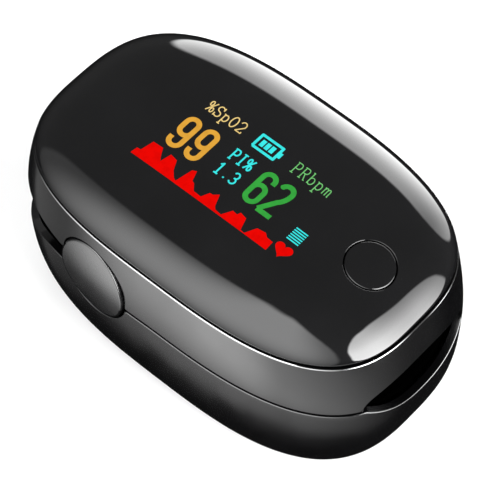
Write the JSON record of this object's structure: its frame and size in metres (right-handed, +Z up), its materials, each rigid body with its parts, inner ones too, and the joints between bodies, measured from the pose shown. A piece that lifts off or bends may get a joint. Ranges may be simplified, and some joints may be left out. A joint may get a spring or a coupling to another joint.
{
  "type": "fingertip pulse oximeter",
  "caption": "Two sprung jaws that clip onto a fingertip, with a lit readout under a glossy crowned cover, a flush power button and a sliding battery door.",
  "frame": {"origin": "middle of the underside, on the surface it stands on", "axes": "+Z up, X across, -Y towards the finger opening, +Y towards the hinge and the squeezed tail"},
  "size_m": [0.0366, 0.0582, 0.032],
  "materials": {
    "shell": "satin black moulded shell",
    "cover": "high gloss black crowned cover",
    "button": "high gloss black",
    "hinge_cap": "satin black",
    "door": "fine moulded texture, black",
    "inner_frame": "matt black",
    "finger_pad": "matt black silicone",
    "gasket": "matt black foam",
    "circuit_board": "green solder mask",
    "component": "matt black",
    "window": "clear red tinted",
    "display": "glossy dark panel",
    "readout": "lit display colours",
    "metal": "plain steel",
    "cell": "printed sleeve",
    "ribbon": "amber film"
  },
  "bodies": {
    "lower_jaw": {"lower_housing": "shell", "lower_inner_frame": "inner_frame", "lower_finger_pad": "finger_pad", "detector_window": "window", "photodiode": "component", "sensor_board": "circuit_board", "flex_ribbon": "ribbon", "battery_left": "cell", "coil_contact_left": "metal", "flat_contact_left": "metal", "hinge_pin_left": "metal", "torsion_spring_left": "metal", "hinge_cap_left": "hinge_cap", "lower_screw_left": "metal", "battery_right": "cell", "coil_contact_right": "metal", "flat_contact_right": "metal", "hinge_pin_right": "metal", "torsion_spring_right": "metal", "hinge_cap_right": "hinge_cap", "lower_screw_right": "metal"},
    "upper_jaw": {"upper_screw_front_left": "metal", "upper_screw_rear_left": "metal", "upper_screw_front_right": "metal", "upper_screw_rear_right": "metal", "upper_housing": "shell", "front_cover": "cover", "upper_inner_frame": "inner_frame", "upper_finger_pad": "finger_pad", "emitter_window": "window", "led_emitter": "component", "main_board": "circuit_board", "controller_chip": "component", "display_module": "display", "display_gasket": "gasket", "button_switch": "component"},
    "power_button": {"power_button": "button"},
    "battery_door": {"battery_door": "door"}
  },
  "joints": [
    {"name": "jaw_hinge", "type": "hinge", "parent": "lower_jaw", "child": "upper_jaw", "pos_m": [0, 0.0095, 0.0181], "axis": [-1, 0, 0], "range_deg": [0, 20], "stiffness_Nm_per_rad": 0.15, "springref_deg": -20.05},
    {"name": "button_press", "type": "slide", "parent": "upper_jaw", "child": "power_button", "axis": [0, 0.1998, -0.9798], "range_m": [0, 0.0004], "stiffness_N_per_m": 800, "springref_m": -0.0005},
    {"name": "battery_door_slide", "type": "slide", "parent": "lower_jaw", "child": "battery_door", "axis": [0, 1, 0], "range_m": [0, 0.005]}
  ]
}
